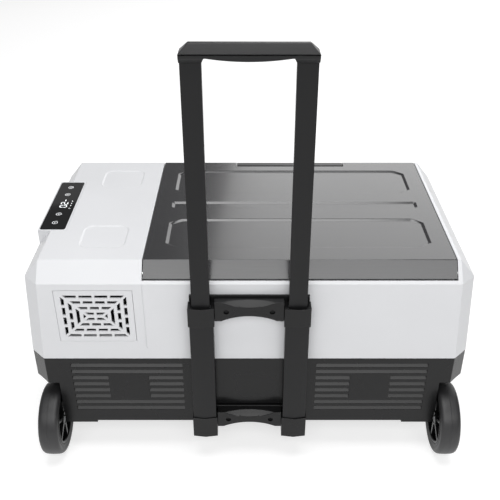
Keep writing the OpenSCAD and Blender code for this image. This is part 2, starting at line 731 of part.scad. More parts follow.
module driver_board() color(board_green) {
    block([foam_x0 - 8, board_y0, driver_z0], [foam_x0 - 6, board_y1, driver_z1]);
    // Standoffs against the insulation wall
    for (y = [board_y0 + 6, board_y1 - 6], z = [driver_z0 + 6, driver_z1 - 6])
        bar_x(foam_x0 - 7, foam_x0 - 0.2, y, z, 3.5);
    // Finned heat sink
    for (i = [0 : 6])
        block([foam_x0 - 30, board_y0 + 8 + 5 * i, driver_z0 + 34],
            [foam_x0 - 7.5, board_y0 + 10 + 5 * i, driver_z1 - 6]);
    block([foam_x0 - 12, board_y0 + 8, driver_z0 + 34], [foam_x0 - 7.5, board_y0 + 40, driver_z1 - 6]);
    // Capacitors, choke and connector
    for (y = [60, 78, 96]) bar_x(foam_x0 - 32, foam_x0 - 7.5, board_y0 + y, driver_z0 + 58, 7);
    bar_x(foam_x0 - 20, foam_x0 - 7.5, board_y0 + 70, driver_z0 + 22, 11);
    block([foam_x0 - 18, board_y0 + 12, driver_z0 + 6], [foam_x0 - 7.5, board_y0 + 44, driver_z0 + 18]);
}

module wire_harness() color([0.55, 0.10, 0.10]) {
    // Supply from the inlet to the driver
    pipe([[-seam_hl + 20, inlet_y, inlet_z], [-325, inlet_y, inlet_z], [-325, inlet_y - 10, 256],
        [-230, board_y0 + 30, 256], [foam_x0 - 28, board_y0 + 30, 250],
        [foam_x0 - 18, board_y0 + 30, 250]], 2.5);
    // Display lead
    pipe([[-318, mid_y - 50, board_z - 1.6], [-318, mid_y - 50, 340], [-300, mid_y + 30, 320],
        [-230, board_y0 + 20, 262], [foam_x0 - 28, board_y0 + 20, 252],
        [foam_x0 - 18, board_y0 + 20, 252]], 1.5);
}

// ---------------------------------------------------------------- lid

hex_hx = 209;
hex_y0 = 47;
hex_y1 = 138;
hex_cut_x = 19;
hex_cut_y = 13.5;
slot_hx = 210;
slot_y0 = -9;
slot_y1 = 14;
bay_hx = latch_w / 2;

// Outline of the lid in Y and Z, drawn in by side and top
module lid_outline(side, top, drop) polygon([
    [front_y + bevel_inset(z_lid) + side, z_lid - drop],
    [front_y + bevel_in_y + side * 0.8, z_top - top],
    [back_y - bevel_in_y - side * 0.8, z_top - top],
    [back_y - bevel_inset(z_lid) - side, z_lid - drop]]);

// A sunk panel in the lid top, with sloping walls that meet the top at its outline
module sunk_panel(hx, y0, y1, cx, cy) {
    hy = (y1 - y0) / 2;
    shrink = 0.586 * panel_slope;
    middle = [lid_mid + 1, (y0 + y1) / 2];
    skin_over(concat(
        at_height([for (p = cut_rect(hx + panel_slope, hy + panel_slope, cx + shrink, cy + shrink))
            middle + p], z_top + panel_sink),
        at_height([for (p = cut_rect(hx - panel_slope, hy - panel_slope, cx - shrink, cy - shrink))
            middle + p], z_top - panel_sink)));
}

module lid_cover() color(lid_grey) difference() {
    union() {
        difference() {
            along_x(lid_x0, lid_x1) lid_outline(0, 0, 0);
            along_x(lid_x0 + wall, lid_x1 - wall) lid_outline(4, 5, 1);
        }
        intersection() {
            along_x(lid_x0, lid_x1) lid_outline(0, 0, 0);
            union() {
                // Housing of the latch
                block([lid_mid - bay_hx - 5, back_y - 44, z_lid], [lid_mid + bay_hx + 5, back_y, z_top]);
                // Hinge barrels
                bar_x(lid_x0, lid_x0 + 16, hinge_y, hinge_z, 6.5);
                bar_x(lid_x1 - 16, lid_x1, hinge_y, hinge_z, 6.5);
            }
        }
    }
    sunk_panel(hex_hx, hex_y0, hex_y1, hex_cut_x, hex_cut_y);
    sunk_panel(hex_hx, -hex_y1, -hex_y0, hex_cut_x, hex_cut_y);
    sunk_panel(slot_hx, slot_y0, slot_y1, 3.5, 4);
    // Finger scoop and the bay of the lever
    block([lid_mid - bay_hx, back_y - 40.5, z_top - 10], [lid_mid + bay_hx, back_y - 26, z_top + 1]);
    block([lid_mid - bay_hx, back_y - 27, z_lid - 1], [lid_mid + bay_hx, back_y + 1, z_top + 1]);
    // Latch pin bores
    bar_x(lid_mid - bay_hx - 4, lid_mid + bay_hx + 4, latch_y, latch_z, latch_pin_d / 2);
    // Hinge bores, a running fit on the pins
    bar_x(lid_x0 - 1, lid_x0 + 12, hinge_y, hinge_z, hinge_pin_d / 2 + 0.05);
    bar_x(lid_x1 - 12, lid_x1 + 1, hinge_y, hinge_z, hinge_pin_d / 2 + 0.05);
}

tray_y0 = front_y + 12;
tray_y1 = back_y - 31;

plug_in = 10;
plug_r = 16;
plug_foot = z_deck - 8;

// Plug that drops into the mouth of the cold box, drawn in by t
module plug_plan(t) round_rect(cavity_x0 + plug_in + t, cavity_x1 - plug_in - t,
    mid_y - cavity_w / 2 + plug_in + t, mid_y + cavity_w / 2 - plug_in - t, plug_r - t);

module lid_tray() color(casing_white) difference() {
    union() {
        block([lid_x0 + 1, tray_y0, z_lid - 3], [lid_x1 - 1, tray_y1, z_lid]);
        translate([0, 0, plug_foot]) linear_extrude(z_lid - plug_foot) plug_plan(0);
    }
    translate([0, 0, plug_foot + wall]) linear_extrude(z_lid) plug_plan(wall);
}

module lid_foam() color([0.93, 0.90, 0.72]) {
    block([lid_x0 + 18, front_y + 27, z_lid + 0.2], [lid_x1 - 18, back_y - 45, z_top - 5.2]);
    translate([0, 0, plug_foot + wall + 0.2]) linear_extrude(z_lid - plug_foot - wall) plug_plan(wall + 0.5);
}

module lid_gasket() color(rubber_black) difference() {
    translate([0, 0, z_deck + 0.3]) linear_extrude(z_lid - 3 - z_deck - 0.3)
        cavity_plan(14);
    translate([0, 0, z_deck - 1]) linear_extrude(20) cavity_plan(4);
}

module hinge_pins() color(steel) {
    bar_x(bay_x0 - 12, lid_x0 + 10, hinge_y, hinge_z, hinge_pin_d / 2);
    bar_x(lid_x1 - 10, top_hl - 0.5, hinge_y, hinge_z, hinge_pin_d / 2);
}

latch_y = back_y - 20;
latch_z = z_top - 18;

// Side view of the lever skin, from the finger edge to the foot of the bevel
module lever_skin() polygon([[back_y - 36, z_top - 0.4], [back_y - bevel_in_y, z_top - 0.4],
    [back_y - bevel_inset(z_lid + 2.1) - 0.4, z_lid + 2.1],
    [back_y - bevel_inset(z_lid + 1) - 3.6, z_lid + 1],
    [back_y - bevel_in_y - 1, z_top - 3.4],
    [back_y - 36, z_top - 3.4]]);

// Rib from the skin down to the pivot eye
module lever_rib() polygon([[latch_y - 3.5, latch_z], [latch_y - 5, z_top - 2],
    [back_y - bevel_in_y, z_top - 2], [back_y - bevel_inset(z_lid + 5) - 2, z_lid + 5],
    [latch_y + 2, latch_z - 3]]);

// Hook below the pivot
module lever_hook() polygon([[latch_y - 3.5, latch_z + 1], [latch_y + 3.5, latch_z + 1],
    [latch_y + 2, z_deck + 7], [latch_y + 4.5, z_deck + 5], [latch_y + 4.5, z_deck + 1.5],
    [latch_y - 3, z_deck + 1.5]]);

module latch_lever() color(soft_black) difference() {
    union() {
        along_x(lid_mid - bay_hx + 0.6, lid_mid + bay_hx - 0.6) lever_skin();
        for (x = [-85, 85]) {
            along_x(lid_mid + x - 6, lid_mid + x + 6) lever_rib();
            bar_x(lid_mid + x - 8, lid_mid + x + 8, latch_y, latch_z, 4.5);
        }
        along_x(lid_mid - 16, lid_mid + 16) lever_rib();
        along_x(lid_mid - 18, lid_mid + 18) lever_hook();
        bar_x(lid_mid - 20, lid_mid + 20, latch_y, latch_z, 4.5);
    }
    bar_x(lid_mid - bay_hx - 1, lid_mid + bay_hx + 1, latch_y, latch_z, latch_pin_d / 2 + 0.05);
}

module latch_pin() color(steel)
    bar_x(lid_mid - bay_hx - 4, lid_mid + bay_hx + 4, latch_y, latch_z, latch_pin_d / 2);

module latch_strike() color(steel) {
    block([lid_mid - 24, latch_y + 5.7, z_deck], [lid_mid + 24, back_y - rim_t, z_deck + 1.5]);
    block([lid_mid - 24, latch_y + 5.7, z_deck + 1], [lid_mid + 24, latch_y + 7.2, z_deck + 5]);
}

// ---------------------------------------------------------------- handle

tube_x = tube_pitch / 2;
tube_rear = front_y - 4.5;
tube_front = front_y - 21;
tube_ridge = front_y - 24;
bore_rear = front_y - 6.3;
bore_front = front_y - 19.3;
bore_w = outer_tube_w - 3;
tube_mid_y = (bore_rear + bore_front) / 2;
collar_z0 = 282;
collar_z1 = 316;
cap_z0 = 52;
cap_z1 = 93;
tube_foot = cap_z0 + 4;
tube_head = collar_z1 - 4;
bush_h = 22;
high_bar_z = 307;
low_bar_z = 85;
bracket_screw_x = 35;

// Ridged section of the fixed tubes, grown by t
module ridged_section(t) polygon([
    [-outer_tube_w / 2 - t, tube_rear + t], [outer_tube_w / 2 + t, tube_rear + t],
    [outer_tube_w / 2 + t, tube_front - t], [0, tube_ridge - t], [-outer_tube_w / 2 - t, tube_front - t]]);

// Rectangular section, centred between the walls of the fixed tubes
module slim_section(w, d) translate([-w / 2, tube_mid_y - d / 2]) square([w, d]);

module outer_tube(side) color(charcoal) translate([side * tube_x, 0, tube_foot])
    linear_extrude(tube_head - tube_foot) difference() {
        ridged_section(0);
        slim_section(bore_w, bore_rear - bore_front);
    }
module outer_tube_left() outer_tube(-1);
module outer_tube_right() outer_tube(1);

// Front of the bar between the tubes, half the width of its waist, and the depth of its thumb scoop
bar_front = front_y - 18;
waist_hx = 43;
scoop_back = 8;

// Bar between the tubes with an arched underside, as an outline in X and Z
module arched_bar(z, end_h, dip) {
    half = tube_x - outer_tube_w / 2 - 2;
    arch = (waist_hx * waist_hx + dip * dip) / (2 * dip);
    difference() {
        translate([-half, z - end_h / 2]) square([2 * half, end_h]);
        translate([0, z - end_h / 2 + dip - arch]) circle(arch, $fn = 180);
    }
}

// Ball that scoops dip mm out of the front of a bar's top edge and scoop_back mm out of its top
module thumb_scoop(z, dip) {
    up = (waist_hx * waist_hx - dip * dip) / (2 * dip);
    out = (waist_hx * waist_hx - scoop_back * scoop_back) / (2 * scoop_back);
    translate([0, bar_front - out, z + up])
        sphere(sqrt(waist_hx * waist_hx + up * up + out * out), $fn = 200);
}

// Bracket: sleeves round both tubes, the bar and the plate behind
module tube_bracket(z0, z1, bar_z0, end_h, waist_h, plate_z0, plate_z1) {
    dip = (end_h - waist_h) / 2;
    for (s = [-1, 1]) translate([s * tube_x, 0, z0]) linear_extrude(z1 - z0) ridged_section(1.8);
    difference() {
        along_y(bar_front, front_y - 3.5) arched_bar(bar_z0, end_h, dip);
        thumb_scoop(bar_z0 + end_h / 2, dip);
    }
    block([-tube_x - outer_tube_w / 2, front_y - 4, plate_z0],
        [tube_x + outer_tube_w / 2, front_y, plate_z1]);
}

module bracket_holes(z) for (s = [-1, 1]) {
    bar_y(front_y - 20, front_y + 1, s * bracket_screw_x, z, 2.1);
    bar_y(front_y - 20, front_y - 13, s * bracket_screw_x, z, 4.2);
}

// Space taken by the two fixed tubes
module tube_space(z0, z1) for (s = [-1, 1])
    translate([s * tube_x, 0, z0]) linear_extrude(z1 - z0) ridged_section(0.1);

module upper_bracket() color(charcoal) difference() {
    tube_bracket(collar_z0, collar_z1, high_bar_z, 35, 16, high_bar_z - 17.5, 327.5);
    tube_space(collar_z0 - 1, tube_head + 0.1);
    for (s = [-1, 1]) translate([s * tube_x, 0, tube_head - 1]) linear_extrude(20)
        slim_section(inner_tube_w + 1.4, inner_tube_d + 1.4);
    bracket_holes(high_bar_z);
}

module lower_bracket() color(charcoal) difference() {
    tube_bracket(cap_z0, cap_z1, low_bar_z, 31, 12, z_base + 5, 103);
    tube_space(tube_foot - 0.1, cap_z1 + 1);
    bracket_holes(low_bar_z);
}

module bracket_screws() color(steel) for (z = [high_bar_z, low_bar_z], s = [-1, 1]) {
    bar_y(front_y - 13, front_y + wall - 0.2, s * bracket_screw_x, z, 2);
    difference() {
        bar_y(front_y - 15.4, front_y - 13, s * bracket_screw_x, z, 3.9);
        for (a = [0, 90]) translate([s * bracket_screw_x, front_y - 15.5, z]) rotate([0, a, 0])
            block([-2.4, 0, -0.5], [2.4, 1.2, 0.5]);
    }
}

module guide_bushes() color([0.55, 0.56, 0.58]) for (s = [-1, 1])
    translate([s * tube_x, 0, tube_head - bush_h]) linear_extrude(bush_h - 0.1) difference() {
        slim_section(bore_w - 0.2, bore_rear - bore_front - 0.2);
        slim_section(inner_tube_w + 0.2, inner_tube_d + 0.2);
    }

grip_foot = 690;
inner_wall = 1.2;
lock_z = inner_tube_foot + 12;
lock_r = 3;

module inner_tube(side) color(charcoal) difference() {
    translate([side * tube_x, 0, inner_tube_foot]) linear_extrude(grip_foot - inner_tube_foot) difference() {
        slim_section(inner_tube_w, inner_tube_d);
        slim_section(inner_tube_w - 2 * inner_wall, inner_tube_d - 2 * inner_wall);
    }
    // Hole of the lock pin
    translate([side * tube_x, 0, 0]) mirror([side < 0 ? 1 : 0, 0, 0])
        bar_x(inner_tube_w / 2 - 3, inner_tube_w / 2 + 1, tube_mid_y, lock_z, lock_r + 0.05);
}
module inner_tube_left() inner_tube(-1);
module inner_tube_right() inner_tube(1);

grip_hl = tube_x + inner_tube_w / 2 + 1;
grip_in = tube_x - inner_tube_w / 2 - 0.5;
grip_rear = tube_mid_y + 11.5;
grip_front = tube_mid_y - 12.5;
grip_shoulder = grip_top - 13;
slot_top = grip_top - 7.5;
spring_h = 8;

module grip() color(charcoal) difference() {
    intersection() {
        along_y(grip_front, grip_rear) polygon([
            [-grip_hl, grip_foot], [-grip_hl, grip_top - 12], [-grip_hl + 12, grip_top],
            [grip_hl - 12, grip_top], [grip_hl, grip_top - 12], [grip_hl, grip_foot],
            [grip_in, grip_foot], [grip_in - 3, grip_foot + 7], [-grip_in + 3, grip_foot + 7],
            [-grip_in, grip_foot]]);
        along_x(-grip_hl - 1, grip_hl + 1) polygon([
            [grip_front + 5, grip_foot], [grip_front, grip_foot + 6], [grip_front, grip_shoulder],
            [grip_front + 11, grip_top], [grip_rear - 7, grip_top], [grip_rear, grip_shoulder + 3],
            [grip_rear, grip_foot + 6], [grip_rear - 5, grip_foot]]);
    }
    // Slot of the release bar, its arms and the pull rods
    block([-56, tube_mid_y - 6.5, grip_foot - 1], [56, tube_mid_y + 6.5, slot_top]);
    block([-tube_x - 4, tube_mid_y - 3.5, grip_foot + 2], [tube_x + 4, tube_mid_y + 3.5, grip_foot + 15]);
    for (s = [-1, 1]) bar_z(grip_foot - 1, grip_foot + 6, s * tube_x, tube_mid_y, 3);
}

bar_head = slot_top - spring_h;

module release_bar() color(soft_black) {
    // Curved belly under the grip
    along_y(tube_mid_y - 6, tube_mid_y + 6) intersection() {
        translate([-55, grip_foot]) square([110, bar_head - grip_foot]);
        translate([0, grip_foot + 0.8 + 360]) circle(360, $fn = 360);
    }
    // Arms that reach the pull rods
    for (s = [-1, 1]) block([s > 0 ? 54 : -tube_x - 3, tube_mid_y - 3, grip_foot + 5],
        [s > 0 ? tube_x + 3 : -54, tube_mid_y + 3, grip_foot + 14.5 - release_travel]);
}

spring_x = 40;

module release_springs() color(steel) for (s = [-1, 1])
    translate([s * spring_x, tube_mid_y, bar_head + 0.05]) coil_spring(3.2, 0.8, spring_h - 0.1, 4);

module pull_rods() color(steel) for (s = [-1, 1]) {
    bar_z(lock_z + 8, grip_foot + 5, s * tube_x, tube_mid_y, 1.5);
    bar_z(lock_z + 6, lock_z + 12, s * tube_x, tube_mid_y, 3.5);
}

// Lock pin, flush with the tube wall while the handle slides
module lock_pin(side) color(steel) translate([side * tube_x, 0, 0]) mirror([side < 0 ? 1 : 0, 0, 0]) {
    bar_x(6, inner_tube_w / 2 - 0.1, tube_mid_y, lock_z, lock_r);
    bar_x(6, 8, tube_mid_y, lock_z, lock_r + 1.2);
}
module lock_pin_left() lock_pin(-1);
module lock_pin_right() lock_pin(1);

// ---------------------------------------------------------------- wheels and feet

wheel_x0 = arch_wall_x + 2.5;
rim_r = 45;
shoulder = 8;

// Half section of the tyre: the axis is the wheel's, the first value is the radius
module tyre_section() {
    w = wheel_w;
    translate([rim_r, 1.5]) square([wheel_r - rim_r - shoulder, w - 3]);
    translate([wheel_r - shoulder - 1, shoulder]) square([shoulder + 1, w - 2 * shoulder]);
    for (y = [shoulder, w - shoulder]) translate([wheel_r - shoulder, y]) circle(shoulder, $fn = 48);
}

module wheel_turn(side) translate([side * wheel_x0, wheel_y, wheel_r]) rotate([0, side * 90, 0])
    rotate_extrude($fn = 96) children();

module tyre(side) color(rubber_black) wheel_turn(side) tyre_section();
module tyre_left() tyre(-1);
module tyre_right() tyre(1);

module hub(side) color(charcoal) translate([side * wheel_x0, wheel_y, wheel_r]) rotate([0, side * 90, 0])
    difference() {
        translate([0, 0, 2.5]) cylinder(h = wheel_w - 5, r = rim_r - 0.02, $fn = 96);
        // Dished faces on both sides of the web
        for (z = [2, wheel_w - 11]) translate([0, 0, z]) difference() {
            cylinder(h = 9, r = 40, $fn = 96);
            translate([0, 0, -1]) cylinder(h = 11, r = 13, $fn = 96);
            for (a = [0 : 60 : 300]) rotate(a) translate([12, -2.5, -1]) cube([30, 5, 11]);
        }
        for (a = [30 : 60 : 330]) rotate(a) translate([26, 0, 0]) cylinder(h = wheel_w, r = 8, $fn = 48);
        translate([0, 0, -1]) cylinder(h = wheel_w + 2, r = axle_d / 2 + 0.05, $fn = round_fn);
    }
module hub_left() hub(-1);
module hub_right() hub(1);

axle_out = wheel_x0 + wheel_w + 2;

module axle(side) color(steel) mirror([side < 0 ? 1 : 0, 0, 0])
    bar_x(bracket_x0 + 24, axle_out - 0.5, wheel_y, wheel_r, axle_d / 2);
module axle_left() axle(-1);
module axle_right() axle(1);

module axle_brackets() color(charcoal) both_ends() difference() {
    union() {
        block([bracket_x0, front_y + 0.5, pad_plate_z], [arch_wall_x, front_y + 78, z_base]);
        bar_x(bracket_x0 + 23, arch_wall_x + 1, wheel_y, wheel_r, boss_r);
    }
    bar_x(bracket_x0 + 24, arch_wall_x + 2, wheel_y, wheel_r, axle_d / 2);
    for (y = bracket_bolt_y) bar_z(pad_plate_z - 1, z_base + 1, bracket_bolt_x, y, 2.6);
}

module axle_nuts() color(steel) both_ends() difference() {
    union() {
        bar_x(axle_out - 3.9, axle_out - 3.1, wheel_y, wheel_r, 8);
        translate([axle_out - 3.1, wheel_y, wheel_r]) rotate([0, 90, 0]) cylinder(h = 3, r = 7, $fn = 6);
    }
    bar_x(axle_out - 8, axle_out + 1, wheel_y, wheel_r, axle_d / 2);
}

module bracket_bolts() color(steel) both_ends() {
    for (y = bracket_bolt_y) {
        bar_z(pad_plate_z - 3, pad_plate_z, bracket_bolt_x, y, 4.5);
        bar_z(pad_plate_z - 0.5, z_base + wall + 1, bracket_bolt_x, y, 2.5);
    }
    for (y = foot_bolt_y) {
        bar_z(z_base - 7, z_base - 4, foot_x, y, 4.5);
        bar_z(z_base - 4.5, z_base + wall + 1, foot_x, y, 2.5);
    }
}

pad_h = 8;

module rear_feet() color(charcoal) both_ends() difference() {
    union() {
        translate([foot_x, foot_y, pad_h]) cylinder(h = z_base - pad_h, r1 = 15, r2 = 18, $fn = round_fn);
        block([foot_x - 18, foot_y - 30, z_base - 4], [foot_x + 18, foot_y + 30, z_base]);
    }
    for (y = foot_bolt_y) {
        bar_z(z_base - 5, z_base + 1, foot_x, y, 2.6);
        bar_z(pad_h - 1, z_base - 4, foot_x, y, 5.2);
    }
}

module foot_pads() color(rubber_black) both_ends()
    translate([foot_x, foot_y, 0]) cylinder(h = pad_h, r = 17, $fn = round_fn);

module casing_screws() color(steel) both_ends() for (y = casing_screw_y) {
    bar_x(seam_hl - 8, seam_hl - 0.6, y, z_seam - 8, 1.6);
    bar_x(base_hl, seam_hl, y, z_seam - 8, 3.6);
}

base_tub();
upper_casing();
vent_grille();
inner_liner();
foam_insulation();
evaporator_plate();
control_pod();
display_panel();
display_board();
power_key();
menu_key();
plus_key();
minus_key();
dc_inlet();
interior_light();
compressor();
compressor_mounts();
mount_bolts();
condenser();
fan_frame();
fan_rotor();
filter_drier();
refrigerant_lines();
driver_board();
wire_harness();
lid_cover();
lid_tray();
lid_foam();
lid_gasket();
latch_lever();
latch_pin();
latch_strike();
hinge_pins();
upper_bracket();
lower_bracket();
outer_tube_left();
outer_tube_right();
guide_bushes();
bracket_screws();
inner_tube_left();
inner_tube_right();
grip();
release_bar();
release_springs();
pull_rods();
lock_pin_left();
lock_pin_right();
tyre_left();
tyre_right();
hub_left();
hub_right();
axle_left();
axle_right();
axle_brackets();
axle_nuts();
bracket_bolts();
rear_feet();
foot_pads();
casing_screws();
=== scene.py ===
# %% [markdown]
# # A wheeled compressor cooler fridge
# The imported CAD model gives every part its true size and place. This script dresses it: soft
# edges on the mouldings, turned wheels, a printed display, and a procedural finish for every
# part. Everything is in metres, in the model's own frame: X along the chest, Y from the handle
# side to the latch side, Z up, with the ground at zero.

# %% Load the frame
import json
import math

import bmesh
import bpy
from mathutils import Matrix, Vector


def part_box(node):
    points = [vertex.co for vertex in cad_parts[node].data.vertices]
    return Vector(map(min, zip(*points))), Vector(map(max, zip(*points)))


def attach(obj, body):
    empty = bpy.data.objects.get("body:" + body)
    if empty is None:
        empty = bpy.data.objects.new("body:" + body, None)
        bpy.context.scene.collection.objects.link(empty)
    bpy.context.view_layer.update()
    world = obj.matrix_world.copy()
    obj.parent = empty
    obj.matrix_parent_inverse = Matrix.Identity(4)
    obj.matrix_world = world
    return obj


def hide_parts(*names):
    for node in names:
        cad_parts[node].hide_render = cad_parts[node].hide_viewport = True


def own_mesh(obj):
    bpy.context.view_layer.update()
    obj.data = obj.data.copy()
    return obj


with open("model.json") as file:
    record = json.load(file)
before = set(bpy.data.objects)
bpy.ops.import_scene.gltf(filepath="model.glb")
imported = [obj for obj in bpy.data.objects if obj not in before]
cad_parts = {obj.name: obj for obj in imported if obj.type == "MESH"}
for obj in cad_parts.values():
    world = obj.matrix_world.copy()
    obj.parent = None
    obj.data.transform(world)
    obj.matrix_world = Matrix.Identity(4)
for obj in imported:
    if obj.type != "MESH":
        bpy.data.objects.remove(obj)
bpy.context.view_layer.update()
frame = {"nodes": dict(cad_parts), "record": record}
nodes = frame["nodes"]
MM = 0.001

# %% [markdown]
# ## Camera
# The chest is seen from above its handle side, a metre away. A camera can be aimed with a
# constraint or turned by hand. Here one angle is enough, because it looks straight along +Y and
# only tilts down. The lens is slightly long, so that the raised handle doesn't lean too much.

# %% Camera
camera_at = Vector((0.001, -1.087, 0.968))
look_down = math.radians(31.56)

camera = bpy.data.objects.new("camera", bpy.data.cameras.new("camera"))
bpy.context.scene.collection.objects.link(camera)
camera.location = camera_at
camera.rotation_euler = (math.radians(90) - look_down, 0, 0)
camera.data.lens = 52.8
camera.data.sensor_width = 36
bpy.context.scene.camera = camera
print("camera at", tuple(camera.location), "lens", camera.data.lens)

# %% [markdown]
# ## Floor
# A studio has a pale sweep that hides where floor and wall meet. A curved sheet could be made
# for it, but a plane that runs far behind the chest looks the same from above and is simpler.

# %% Floor
bpy.ops.object.select_all(action="DESELECT")
bpy.ops.mesh.primitive_plane_add(size=80, location=(0, 3, 0))
floor = bpy.context.object
floor.name = "floor"
print("floor", tuple(floor.dimensions))

# %% [markdown]
# ## Light
# Dark glossy plastic is lit by what it mirrors. A point or sun lamp would leave hard spots, so
# every lamp is a large rectangle. The biggest stands behind: the lid mirrors it over its right
# part and stays dark at the left, where the lamp ends. One overhead brightens the faces that
# look up, a long one in front fills the handle side, and a dim one shows in the display's glass.
# The room itself adds a little light from everywhere, which softens the shadows.


# %% Lights
def softbox(name, place, target, width, height, power):
    """A rectangular area light at a place, turned to a target."""
    lamp = bpy.data.lights.new(name, "AREA")
    lamp.shape = "RECTANGLE"
    lamp.size, lamp.size_y = width, height
    lamp.energy = power
    light = bpy.data.objects.new(name, lamp)
    bpy.context.scene.collection.objects.link(light)
    light.location = place
    light.rotation_euler = (Vector(target) - Vector(place)).to_track_quat("-Z", "Y").to_euler()
    print(name, power, "W", width, "x", height, "m")


chest_middle = (0, 0, 0.25)
display_middle = (-0.32, 0, 0.375)
softbox("light_behind", (1.4, 3.0, 2.05), chest_middle, 3.4, 2.5, 60)
softbox("light_overhead", (0.0, -0.2, 2.6), chest_middle, 1.4, 1.4, 40)
softbox("light_front", (0.0, -2.15, 1.95), chest_middle, 2.8, 1.25, 46)
softbox("light_display", (-1.45, 3.0, 1.18), display_middle, 1.2, 1.5, 1.3)

world = bpy.data.worlds.new("room")
world.use_nodes = True
room = world.node_tree.nodes["Background"]
room.inputs["Color"].default_value = (1, 1, 1, 1)
room.inputs["Strength"].default_value = 0.2
bpy.context.scene.world = world
bpy.context.scene.view_settings.view_transform = "Standard"

# %% [markdown]
# ## Shader maths
# A finish is a small network of nodes. Writing it as Python expressions is shorter: a `Wire`
# wraps a socket, so that `wire * 0.5` adds a Math node, and `Finish.node` adds any other node
# from its type, its settings and what goes into its sockets.


# %% Wires and finishes
class Wire:
    """A socket of a finish that takes part in arithmetic."""

    def __init__(self, finish, socket):
        self.finish = finish
        self.socket = socket

    def maths(self, operation, first, second):
        return self.finish.node("ShaderNodeMath", {"operation": operation}, {0: first, 1: second})

    def __add__(self, other):
        return self.maths("ADD", self, other)

    def __radd__(self, other):
        return self.maths("ADD", other, self)

    def __mul__(self, other):
        return self.maths("MULTIPLY", self, other)

    def __rmul__(self, other):
        return self.maths("MULTIPLY", other, self)


class Finish:
    """A material with one Principled shader, and the means to add nodes to it."""

    def __init__(self, name, colour, roughness, metallic=0.0, coat=0.0, gloss=0.5):
        self.material = bpy.data.materials.new(name)
        self.material.use_nodes = True
        self.tree = self.material.node_tree
        self.shader = self.tree.nodes["Principled BSDF"]
        self.colour = (*colour, 1)
        self.set("Base Color", self.colour)
        self.set("Roughness", roughness)
        self.set("Metallic", metallic)
        self.set("Coat Weight", coat)
        self.set("Specular IOR Level", gloss)
        self.place = self.node("ShaderNodeTexCoord", output="Object")

    def node(self, kind, settings=None, sockets=None, output=0):
        """Adds a node, makes its settings, then fills its sockets with values or wires."""
        made = self.tree.nodes.new(kind)
        for name, value in (settings or {}).items():
            setattr(made, name, value)
        for name, value in (sockets or {}).items():
            self.fill(made.inputs[name], value)
        return Wire(self, made.outputs[output])

    def fill(self, socket, value):
        if isinstance(value, Wire):
            self.tree.links.new(value.socket, socket)
        else:
            socket.default_value = value

    def set(self, name, value):
        self.fill(self.shader.inputs[name], value)

    def noise(self, size, detail=3.0, stretch=(1, 1, 1)):
        """Soft noise from 0 to 1 whose features are about one size, in metres."""
        spread = self.node(
            "ShaderNodeMapping", sockets={"Vector": self.place, "Scale": stretch}
        )
        return self.node(
            "ShaderNodeTexNoise", sockets={"Vector": spread, "Scale": 1 / size, "Detail": detail}
        )

    def cells(self, size):
        """Distance to the nearest cell centre, for a leathery moulded grain."""
        return self.node(
            "ShaderNodeTexVoronoi", sockets={"Vector": self.place, "Scale": 1 / size}
        )

    def blend(self, mask, first, second):
        """One colour where the mask is 0 and the other where it is 1."""
        return self.node(
            "ShaderNodeMix",
            {"data_type": "RGBA"},
            {0: mask, 6: first, 7: second},
            output=2,
        )

    def tint(self, strength):
        """The finish's own colour, made darker or lighter."""
        return tuple(min(1, part * strength) for part in self.colour[:3]) + (1,)

    def relief(self, height, depth):
        """Bumps the surface by a height from 0 to 1, with a depth in metres."""
        bump = self.node(
            "ShaderNodeBump", sockets={"Height": height, "Distance": depth, "Strength": 1.0}
        )
        self.set("Normal", bump)

    def mottle(self, size, amount, roughness, swing):
        """Lets the colour and the gloss drift a little over the surface."""
        drift = self.noise(size)
        self.set("Base Color", self.blend(drift, self.tint(1 - amount), self.tint(1 + amount)))
        self.set("Roughness", roughness - swing / 2 + drift * swing)


# %% [markdown]
# ## Plastics
# The mouldings differ in colour, in gloss and in the grain of their mould: the white casing's is
# fine, the dark base's a little coarser. The grain could be a picture wrapped round each part.
# Noise needs no wrapping, keeps its true size on every part, and turns corners without a seam. A
# slow drift in colour and gloss keeps large faces from looking like plain paint.


# %% Plastic finishes
fine_grain = 0.00002


def moulded(name, colour, roughness, grain, depth=fine_grain, gloss=0.5, amount=0.03):
    """Plastic with a mould's grain. The grain's size and depth are in metres."""
    finish = Finish(name, colour, roughness, gloss=gloss)
    finish.mottle(0.09, amount, roughness, 0.06)
    finish.relief(finish.noise(grain, 4) * 0.7 + finish.cells(grain * 1.6) * 0.3, depth)
    return finish.material


white_plastic = moulded("white_plastic", (0.60, 0.605, 0.62), 0.36, 0.0007, gloss=0.4)
dark_plastic = moulded(
    "dark_plastic", (0.004, 0.004, 0.0043), 0.27, 0.0008, gloss=0.28, amount=0.1
)
black_plastic = moulded("black_plastic", (0.012, 0.012, 0.013), 0.34, 0.0008, gloss=0.3)
liner_plastic = moulded("liner_plastic", (0.68, 0.69, 0.70), 0.28, 0.002)
nylon = moulded("nylon", (0.16, 0.165, 0.18), 0.5, 0.0006)
foam_finish = moulded("foam_finish", (0.66, 0.58, 0.34), 0.85, 0.0016, 0.0005, amount=0.12)
print("plastics", white_plastic.name, dark_plastic.name, black_plastic.name)

# %% [markdown]
# ## The lid's plastic
# The lid has a satin face with very fine streaks along it. A painted stripe pattern would look
# printed. Noise that is stretched fifty times along X gives streaks of uneven length instead,
# and a thin clear coat above them keeps the reflection soft but bright.

